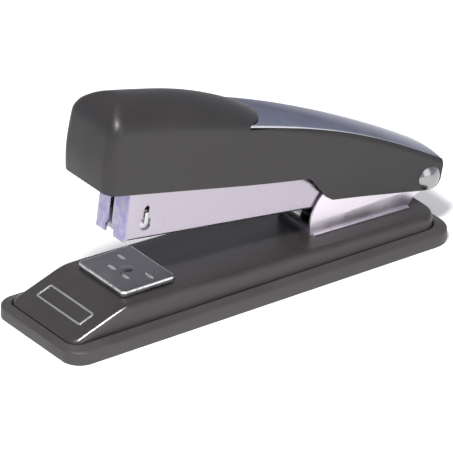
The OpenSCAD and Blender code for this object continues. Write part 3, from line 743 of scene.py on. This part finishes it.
def deck_ring(x, t):
    """Arched section of the steel pressing, t inside its outer face."""
    front_round = rounding(x - RAMP_FOOT_X - t, DECK_FRONT_R - t)
    w = DECK_HALF - t - front_round - rounding(SHELL_HIGH.x - t - x, DECK_REAR_R - t)
    r = DECK_EDGE_R - t
    top = roof_z(x) - t - r
    edge = [(w - r * (1 - math.cos(a)), top + r * math.sin(a)) for a in np.radians(np.linspace(0, 90, 9))]
    flat = [(w - r) * s for s in (0.75, 0.5, 0.25)]
    left = [(x, -w, SHOE_FLOOR)] + [(x, -y, z) for y, z in edge] + [(x, -y, top + r) for y in flat]
    return left + [(x, -y, z) for _, y, z in reversed(left)]


def deck_stations(t):
    """Where the pressing's sections stand: close together round its corners and over the bend of the ramp."""
    front, rear = RAMP_FOOT_X + t, SHELL_HIGH.x - t
    quarter = np.radians(np.linspace(0, 90, 9))
    return (list(front + (DECK_FRONT_R - t) * (1 - np.cos(quarter)))
            + list(RAMP_TOP_X + np.linspace(-3, 3, 13)) + list(np.linspace(RAMP_TOP_X + 8, rear - 8, 12))
            + list(rear - (DECK_REAR_R - t) * (1 - np.cos(quarter[::-1]))))


def make_deck():
    """Pressed steel deck with its ramp, and the boss that the anvil stands on."""
    outer = [deck_ring(x, 0) for x in deck_stations(0)]
    inner = [deck_ring(x, DECK_T) for x in deck_stations(DECK_T)]
    deck = shell("deck", outer, inner, IN_BASE, 35, walled=True)
    sunk = 0.9
    boss = lathe("boss", [(0, -sunk), (6, -sunk), (6, 1.9), (5.7, 2.1), (0, 2.1)],
                 Matrix.Translation((ANVIL.x, 0, (deck_z(ANVIL.x / MM) - sunk) * MM)) @ IN_BASE)
    put(join("base_shell_pressed", deck, boss), "base", "base_paint", "base_shell")


def name_box(inset, radius):
    return rounded_box(-NAME_HALF_LONG + inset, NAME_HALF_LONG - inset, -NAME_HALF_WIDE + inset,
                       NAME_HALF_WIDE - inset, radius)


def make_name_plate():
    """Blank plate on the ramp: a bright raised rim round a dark field."""
    foot = Matrix.Translation((RAMP_FOOT_X * MM, 0, RAMP_FOOT_Z * MM)) @ Matrix.Rotation(-RAMP_ANGLE, 4, "Y")
    matrix = foot @ IN_BASE @ Matrix.Translation((NAME_UP_RAMP, 0, -0.1))
    rim = plate("name_plate_rim", [name_box(0, 0.9), name_box(NAME_RIM, 0.5)], 0.4, matrix, 0.1)
    put(rim, "base", "plate_trim", "name_plate")
    put(plate("name_plate_field", [name_box(0.2, 0.6)], 0.22, matrix, 0.05), "base", "base_paint")


# ---------- anvil ----------


def pocket_depth(x, y):
    """Depth of the clinching pockets: two rows, each with a groove for each leg."""
    depth = 0.0
    for row, off in POCKETS:
        for side in (-1, 1):
            u = (x - row) / POCKET_HALF_WIDE
            v = (y - side * off) / POCKET_HALF_LONG
            d = 1 - u * u - v * v
            if d > 0:
                depth = max(depth, POCKET_DEPTH * math.sqrt(d))
    return depth


def make_anvil():
    """Anvil: down-turned rim, notched corners, pockets for the staples' legs, and the post it turns on."""
    low, high = [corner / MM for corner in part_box("anvil_plate")]
    half_x, half_y = (high.x - low.x) / 2, (high.y - low.y) / 2
    tall = high.z - low.z
    nx, ny = 96, 120
    xs = np.linspace(-half_x + ANVIL_EDGE, half_x - ANVIL_EDGE, nx)
    ys = np.linspace(-half_y + ANVIL_EDGE, half_y - ANVIL_EDGE, ny)
    notch = ANVIL_NOTCH + ANVIL_EDGE

    def drawn_in(x, y):
        """Pushes a point near a corner out to the notch's arc."""
        corner = Vector((math.copysign(half_x, x), math.copysign(half_y, y)))
        away = Vector((x, y)) - corner
        if away.length >= notch:
            return (x, y)
        return tuple(corner + away.normalized() * notch)

    grid = [[drawn_in(x, y) for y in ys] for x in xs]
    border = ([(i, 0) for i in range(nx)] + [(nx - 1, j) for j in range(1, ny)]
              + [(i, ny - 1) for i in range(nx - 2, -1, -1)] + [(0, j) for j in range(ny - 2, 0, -1)])
    points = [(*grid[i][j], -pocket_depth(*grid[i][j])) for i in range(nx) for j in range(ny)]
    faces = [(i * ny + j, (i + 1) * ny + j, (i + 1) * ny + j + 1, i * ny + j + 1)
             for i in range(nx - 1) for j in range(ny - 1)]
    last = [i * ny + j for i, j in border]

    def ring(grow, z):
        """Goes on from the last ring to one that stands out by grow, at height z."""
        nonlocal last
        start = len(points)
        for i, j in border:
            x, y = grid[i][j]
            corner = Vector((math.copysign(half_x, x), math.copysign(half_y, y)))
            outward = corner - Vector((x, y))
            if outward.length > notch + 0.01:
                outward = Vector((np.sign(x) * (i in (0, nx - 1)), np.sign(y) * (j in (0, ny - 1))))
            outward.normalize()
            points.append((x + grow * outward.x, y + grow * outward.y, z))
        now = list(range(start, start + len(border)))
        for k, after in enumerate(now[1:] + now[:1]):
            faces.append((last[k], last[(k + 1) % len(now)], after, now[k]))
        last = now

    for a in np.radians([30, 60, 90]):
        ring(ANVIL_EDGE * math.sin(a), -ANVIL_EDGE * (1 - math.cos(a)))
    ring(ANVIL_EDGE, -tall)
    ring(ANVIL_EDGE - ANVIL_RIM, -tall)
    ring(ANVIL_EDGE - ANVIL_RIM, -ANVIL_PLATE_T)
    faces.append(tuple(last))
    top = add_mesh("anvil_plate_pressed", points, faces, IN_ANVIL, 40)
    put(top, "anvil", "anvil_steel", "anvil_plate")
    foot = ANVIL.z / MM
    post = [(0, 0.42), (0.9, 0.38), (1.7, 0.24), (2.3, 0.06), (2.6, -0.05), (2.2, -0.1), (2.2, -(foot - 0.9)),
            (1.9, -(foot - 0.8)), (0, -(foot - 0.8))]
    put(lathe("anvil_post_turned", post, IN_ANVIL), "anvil", "anvil_steel", "anvil_post")


# ---------- hinge bracket and pin ----------


def bracket_outline():
    radius, height = 16.8, 14.0
    start = math.degrees(math.asin((deck_z(BRACKET_FRONT) - height) / radius))
    top = arc((BRACKET_FRONT + radius, height), radius, 180 - start, 92, 24)
    ear = arc((PX, PZ), PIN_HEAD_R, 82, -106, 20)
    foot = deck_z(BRACKET_REAR)
    return top + ear + [(BRACKET_REAR + 2.3, foot + 3.4), (BRACKET_REAR, foot + 0.05)]


def make_bracket():
    """U-shaped bracket: two upright walls, the web between them and a narrow outward foot."""
    inner = MAG_HALF + 0.25
    front, rear = BRACKET_FRONT, BRACKET_REAR
    foot = [(front + 1.0, deck_z(front) - 0.02), (rear + 0.2, deck_z(rear) - 0.02),
            (rear + 0.2, deck_z(rear) + 0.66), (front + 1.3, deck_z(front) + 0.66)]
    web = [(front + 2, deck_z(front + 2)), (rear, deck_z(rear)), (rear, deck_z(rear) + 1.2),
           (front + 2, deck_z(front + 2) + 1.2)]
    walls = [bracket_outline(), circle((PX, PZ), PIN_R + 0.02)]
    parts = []
    for side in (-1, 1):
        parts.append(plate("wall", walls, BRACKET_T, wall_matrix(IN_BASE, side * inner, side), 0.16, 3))
        out = wall_matrix(IN_BASE, side * (inner + BRACKET_T - 0.1), side)
        parts.append(plate("foot", [foot], 1.0, out, 0.2, 3))
    parts.append(plate("web", [web], 2 * inner + 0.4, wall_matrix(IN_BASE, -inner - 0.2), 0.1))
    put(join("hinge_bracket_folded", *parts), "base", "bracket_plate", "hinge_bracket")


def make_pin():
    """Hinge pin with a domed head on each end."""
    seat = TAIL_HALF + 0.1
    curve = (PIN_HEAD_R ** 2 + PIN_DOME ** 2) / (2 * PIN_DOME)
    dome = [(PIN_HEAD_R * s, seat + math.sqrt(curve ** 2 - (PIN_HEAD_R * s) ** 2) - curve + PIN_DOME)
            for s in np.sin(np.radians(np.linspace(90, 0, 14)))]
    dome[-1] = (0, seat + PIN_DOME)
    half = [(PIN_R, seat), (PIN_HEAD_R - 0.1, seat)] + dome
    profile = [(r, -z) for r, z in reversed(half)] + half
    matrix = Matrix.Translation(PIVOT) @ Matrix.Rotation(math.radians(90), 4, "X") @ IN_BASE
    put(lathe("hinge_pin_turned", profile, matrix, 64), "base", "pin_chrome", "hinge_pin")


# ---------- magazine ----------


def magazine_top(x):
    return float(np.interp(x, *zip(*MAG_TOP_LINE)))


def magazine_section(x):
    """Closed U section of the folded channel, its outside first and then its inside."""
    def side(half, floor, radius):
        down = [(-half, z) for z in np.linspace(magazine_top(x), floor + radius, 6)]
        turn = [(-half + radius * (1 - math.cos(a)), floor + radius * (1 - math.sin(a)))
                for a in np.radians(np.linspace(10, 90, 8))]
        left = down + turn
        return left + [(-y, z) for y, z in reversed(left)]

    outer = side(MAG_HALF, MAG_FLOOR, MAG_BEND)
    inner = side(MAG_HALF - MAG_T, MAG_FLOOR + MAG_T, MAG_BEND - MAG_T)
    return [(x, y, z) for y, z in outer + inner[::-1]]


def front_lip(side):
    """One of the two lips folded inwards at the front, with its notch beside the slot."""
    bend, fold = MAG_FRONT + MAG_BEND, MAG_HALF - MAG_BEND
    path = [(bend + 0.02, MAG_HALF)] + arc((bend, fold), MAG_BEND, 90, 180, 8) + [(MAG_FRONT, 1.0)]
    path += [(MAG_FRONT + MAG_T, 1.0)] + arc((bend, fold), MAG_BEND - MAG_T, 180, 90, 8)
    path += [(bend + 0.02, MAG_HALF - MAG_T)]
    lip = plate("lip", [[(x, side * y) for x, y in path]], MAG_TOP_FRONT - MAG_FLOOR,
                IN_MAGAZINE @ Matrix.Translation((0, 0, MAG_FLOOR)))
    # drawn in Y and Z from the lip's foot, and set across the front of the magazine
    notch = [(-5, -1), (2.4, -1), (2.4, 2.6), (0.9, 5.2), (-5, 5.2)]
    facing = Matrix(((0, 0, 1, MAG_FRONT - 2), (side, 0, 0, 0), (0, 1, 0, MAG_FLOOR), (0, 0, 0, 1)))
    return cut(lip, plate("notch", [notch], 6, IN_MAGAZINE @ facing, 0.01))


def hinge_ear(side):
    ear = [(-8.1, MAG_FLOOR + 1.3)] + arc((0, 0), MAG_EAR_R, -100, 78, 24) + [(-8.1, magazine_top(-8))]
    upright = wall_matrix(IN_MAGAZINE, side * (MAG_HALF - MAG_T), side)
    return plate("ear", [ear, circle((0, 0), PIN_R + 0.1)], MAG_T, upright)


def make_magazine():
    """Plated channel: folded floor and walls, two front lips, hook windows and two hinge ears."""
    stations = [*np.linspace(MAG_FRONT + MAG_BEND, MAG_FRONT + 14, 4), *np.linspace(-105, -8, 14)]
    body = folded("channel", [magazine_section(x) for x in stations], IN_MAGAZINE)
    parts = [make(side) for side in (-1, 1) for make in (front_lip, hinge_ear)]
    # the driver comes down through the gap in front of the floor
    ahead, below, above = MAG_FRONT - 1, MAG_FLOOR - 1, MAG_FLOOR + 2
    gap = [(ahead, below), (FEED_FRONT, below), (FEED_FRONT, above), (ahead, above)]
    reach = MAG_HALF - MAG_T - 0.1
    cut(body, plate("exit", [gap], 2 * reach, wall_matrix(IN_MAGAZINE, -reach), 0.01))
    window = arc((MAG_FRONT + 8.4, 0.4), 2.4, 30, 330, 20) + [(MAG_FRONT + 10.4, 0.4)]
    hook = [(MAG_FRONT + 7.2, 0.4), (MAG_FRONT + 9.4, 0.4), (MAG_FRONT + 9.4, 6.4), (MAG_FRONT + 8.6, 7.2),
            (MAG_FRONT + 7.4, 6.2)]
    for side in (-1, 1):
        for line in (window, hook):
            cut(body, plate("window", [line], 4, wall_matrix(IN_MAGAZINE, side * (MAG_HALF - 2), side), 0.02))
    body.data.set_sharp_from_angle(angle=math.radians(40))
    bevel(body, 0.1, 2)
    put(join("magazine_folded", body, *parts), "magazine", "magazine_plate", "magazine_channel")


# ---------- cover ----------


def cover_ring(d, t):
    """Arched section of the cover, d behind its nose and t inside its outer face."""
    x = NOSE_X + d
    foot = skirt_z(x)
    r = max(COVER_EDGE_R - t, LEAST_EDGE_R)
    w = cover_half(x) - t - rounding(d - t, NOSE_R)
    side_top = edge_z(x) - t - r
    fade = max(0, 1 - max(0, d - t) / NOSE_FADE_RUN) ** 1.5
    left = [(-w, foot + (side_top - foot) * s) for s in np.linspace(0, 1, 12)]
    for a in np.radians(np.linspace(-84, -3, 19)):
        y = w * math.sin(a)
        over = max(0, abs(y) - (w - r))
        left.append((y, side_top + math.sqrt(r * r - over * over) + crown(x) * (1 - (y / w) ** 2)))
    ring = left + [(-y, z) for y, z in reversed(left)]
    return [(x + nose_lean(z) * fade, y, z) for y, z in ring]


def cover_stations(t):
    """Distances behind the nose: close together round it, over the head's step and at the tail."""
    return [*(t + NOSE_R * (1 - np.cos(np.radians(np.linspace(0, 90, 9))))), *(np.arange(5, 85, 2.5) + t),
            *np.arange(86, 102, 1.0), *np.arange(103, -NOSE_X - 1, 2.5),
            *(-NOSE_X + np.linspace(0.5, TAIL_X - 0.03, 8))]


def panel_line():
    """Outline of the panel's opening in X and Y: the arc of the head in front, then its tapering sides."""
    sides = [(x, panel_half(x) + PANEL_GAP) for x in np.linspace(TONGUE_X, 0, 30)]
    rear = [(TAIL_X + 10, sides[-1][1]), (TAIL_X + 10, -sides[-1][1])]
    end = math.degrees(math.acos((TONGUE_X - TONGUE_CENTRE) / TONGUE_R))
    head = arc((TONGUE_CENTRE, 0), TONGUE_R, -end, end, 40)
    return sides + rear + [(x, -y) for x, y in reversed(sides)] + head


def make_cover():
    """Matte cover with its domed head, open behind the head for the panel."""
    outer, inner = ([cover_ring(d, t) for d in cover_stations(t)] for t in (0, COVER_T))
    body = shell("cover_moulded", outer, inner, IN_COVER, 40)
    cut(body, plate("opening", [panel_line()], 60, IN_COVER, 0.01))
    body.data.set_sharp_from_angle(angle=math.radians(40))
    put(body, "cover", "cover_plastic", "cover_shell")


def make_panel():
    """Glossy panel with rolled edges, set into the cover behind the head."""
    rows, cols = 60, 24
    points = []
    for k in range(rows + 1):
        for s in (-1 + 2 * j / cols for j in range(cols + 1)):
            y0 = s * panel_half(TONGUE_X)
            front = max(TONGUE_X, TONGUE_CENTRE + math.sqrt((TONGUE_R + PANEL_GAP) ** 2 - y0 ** 2))
            x = front + (TAIL_X - 0.5 - front) * k / rows
            y = s * panel_half(min(x, 0))
            points.append((x, y, edge_z(x) + PANEL_PROUD + PANEL_CROWN * (1 - s * s)))
    panel = add_mesh("top_panel_polished", points, quads(0, rows, cols + 1, False), IN_COVER)
    thick = panel.modifiers.new("thick", "SOLIDIFY")
    thick.thickness = PANEL_T * MM
    thick.offset = -1
    settle(panel)
    bevel(panel, 0.35, 3)
    put(panel, "cover", "panel_gloss", "top_panel")


# ---------- springs and staples ----------


def coil(name, matrix, radius, thick, turns, height):
    """Compression spring along Z whose end turns lie closer together."""
    steps, closing = turns * 20, 0.06
    points = []
    for k in range(steps + 1):
        t = k / steps
        rise = t - closing * math.sin(2 * math.pi * t)
        a = 2 * math.pi * turns * t
        points.append((radius * math.cos(a), radius * math.sin(a), thick + (height - 2 * thick) * rise))
    return wire(name, points, thick, matrix, 8)


def make_springs():
    """The two springs that are pressed straight: under the anvil's button and behind the pusher."""
    low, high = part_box("anvil_spring")
    spring = coil("anvil_spring_coil", Matrix.Translation((ANVIL.x, 0, low.z)) @ IN_BASE, *ANVIL_COIL,
                  (high.z - low.z) / MM)
    put(spring, None, "spring_steel", "anvil_spring")
    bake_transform(spring)
    front, rear = PUSHER_FRONT + PUSHER_SEAT + 0.1, RAIL_REAR - 1.1
    along = Matrix.Translation((front, 0, ROD_Z)) @ Matrix.Rotation(math.radians(90), 4, "Y")
    spring = coil("pusher_spring_coil", IN_MAGAZINE @ along, *PUSHER_COIL, rear - front)
    put(spring, None, "pin_chrome", "pusher_spring")
    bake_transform(spring)


def make_staples():
    """Strip of glued staples, each one a ridge of the strip."""
    rings = []
    pitch, foot, inside = STRIP_LENGTH / STAPLE_COUNT, RAIL_TOP - STAPLE_LEG, STAPLE_HALF - STAPLE_WIRE
    for k in range(STAPLE_COUNT):
        for at, sunk in ((0.04, 0.05), (0.2, 0.0), (0.8, 0.0), (0.96, 0.05)):
            half, top = STAPLE_HALF - sunk, RAIL_TOP + 0.55 - sunk
            bend = arc((-half + STAPLE_WIRE, top - STAPLE_WIRE), STAPLE_WIRE, 180, 90, 4)
            outer = [(-half, foot)] + bend
            inner = [(-inside, foot), (-inside, RAIL_TOP + 0.05)]
            outer += [(-y, z) for y, z in reversed(outer)]
            inner += [(-y, z) for y, z in reversed(inner)]
            rings.append([(STRIP_FRONT + (k + at) * pitch, y, z) for y, z in outer + inner[::-1]])
    put(loft("staple_strip_ridged", rings, IN_MAGAZINE), "magazine", "staple_wire", "staple_strip")


# ---------- stage ----------


def make_stage():
    """Pale floor, a touch below the shoe, that glows enough to come out nearly white."""
    half, z = 3000, -0.02
    floor = add_mesh("floor", [(-half, -half, z), (half, -half, z), (half, half, z), (-half, half, z)],
                     [(0, 1, 2, 3)])
    paint = Shader("floor_paper", (0.93, 0.93, 0.93), 0.8)
    paint.color(paint.noise((3, 3, 3), 3), (0.92, 0.92, 0.92), (0.94, 0.94, 0.94))
    paint.out.inputs["Emission Color"].default_value = (1, 1, 1, 1)
    paint.out.inputs["Emission Strength"].default_value = 0.1
    floor.data.materials.append(paint.material)


def area_light(name, place, size, power, color):
    """Square light that shines on the middle of the object."""
    light = bpy.data.lights.new(name, "AREA")
    light.size = size
    light.energy = power
    light.color = color
    obj = bpy.data.objects.new(name, light)
    obj.location = place
    obj.rotation_euler = (Vector((0, 0, 0.03)) - Vector(place)).to_track_quat("-Z", "Y").to_euler()
    bpy.context.scene.collection.objects.link(obj)


def make_lights():
    """Key from above, large dim fill from the front, and a pale cove that fades to a dimmer ceiling."""
    cove, ceiling, fade_from, fade_to = (0.6, 0.62, 0.72, 1), (0.42, 0.42, 0.45, 1), 0.12, 0.5
    world = bpy.data.worlds.new("studio")
    bpy.context.scene.world = world
    world.use_nodes = True
    tree = world.node_tree
    where = tree.nodes.new("ShaderNodeTexCoord").outputs["Generated"]
    split = tree.nodes.new("ShaderNodeSeparateXYZ")
    height = tree.nodes.new("ShaderNodeMapRange")
    tint = tree.nodes.new("ShaderNodeMix")
    tint.data_type = "RGBA"
    for socket, value in zip(("From Min", "From Max", "To Min", "To Max"), (fade_from, fade_to, 0.0, 1.0)):
        height.inputs[socket].default_value = value
    tint.inputs["A"].default_value = cove
    tint.inputs["B"].default_value = ceiling
    tree.links.new(where, split.inputs["Vector"])
    tree.links.new(split.outputs["Z"], height.inputs["Value"])
    tree.links.new(height.outputs["Result"], tint.inputs["Factor"])
    tree.links.new(tint.outputs["Result"], tree.nodes["Background"].inputs["Color"])
    area_light("key", (-0.3, -0.28, 0.78), 0.16, 10.0, (1, 0.97, 0.94))
    area_light("fill", (0.1, -0.8, 0.35), 0.6, 2.0, (1, 1, 1))


def make_camera():
    """Long lens from the front left, above: 35 degrees round and 27.7 degrees up."""
    turn, lift = math.radians(35), math.radians(27.7)
    distance, view_width, sensor = 3.0, 0.1536, 36
    towards = Vector((-math.sin(turn) * math.cos(lift), -math.cos(turn) * math.cos(lift), math.sin(lift)))
    right = Vector((math.cos(turn), -math.sin(turn), 0))
    up = towards.cross(right)
    # the picture's middle lies above the base's middle
    shift_right, shift_up = -0.00049, 0.0173
    aim = Vector(((SHOE_LOW.x + SHOE_HIGH.x) / 2 * MM, 0, 0)) + right * shift_right + up * shift_up
    camera = bpy.data.cameras.new("camera")
    camera.sensor_width = sensor
    camera.lens = sensor * distance / view_width
    camera.clip_end = 20
    obj = bpy.data.objects.new("camera", camera)
    obj.location = aim + towards * distance
    obj.rotation_euler = (-towards).to_track_quat("-Z", "Y").to_euler()
    bpy.context.scene.collection.objects.link(obj)
    bpy.context.scene.camera = obj


make_shoe()
make_deck()
make_name_plate()
make_anvil()
make_bracket()
make_pin()
make_magazine()
make_cover()
make_panel()
make_springs()
make_staples()
make_stage()
make_lights()
make_camera()
bpy.context.scene.view_settings.view_transform = "Standard"
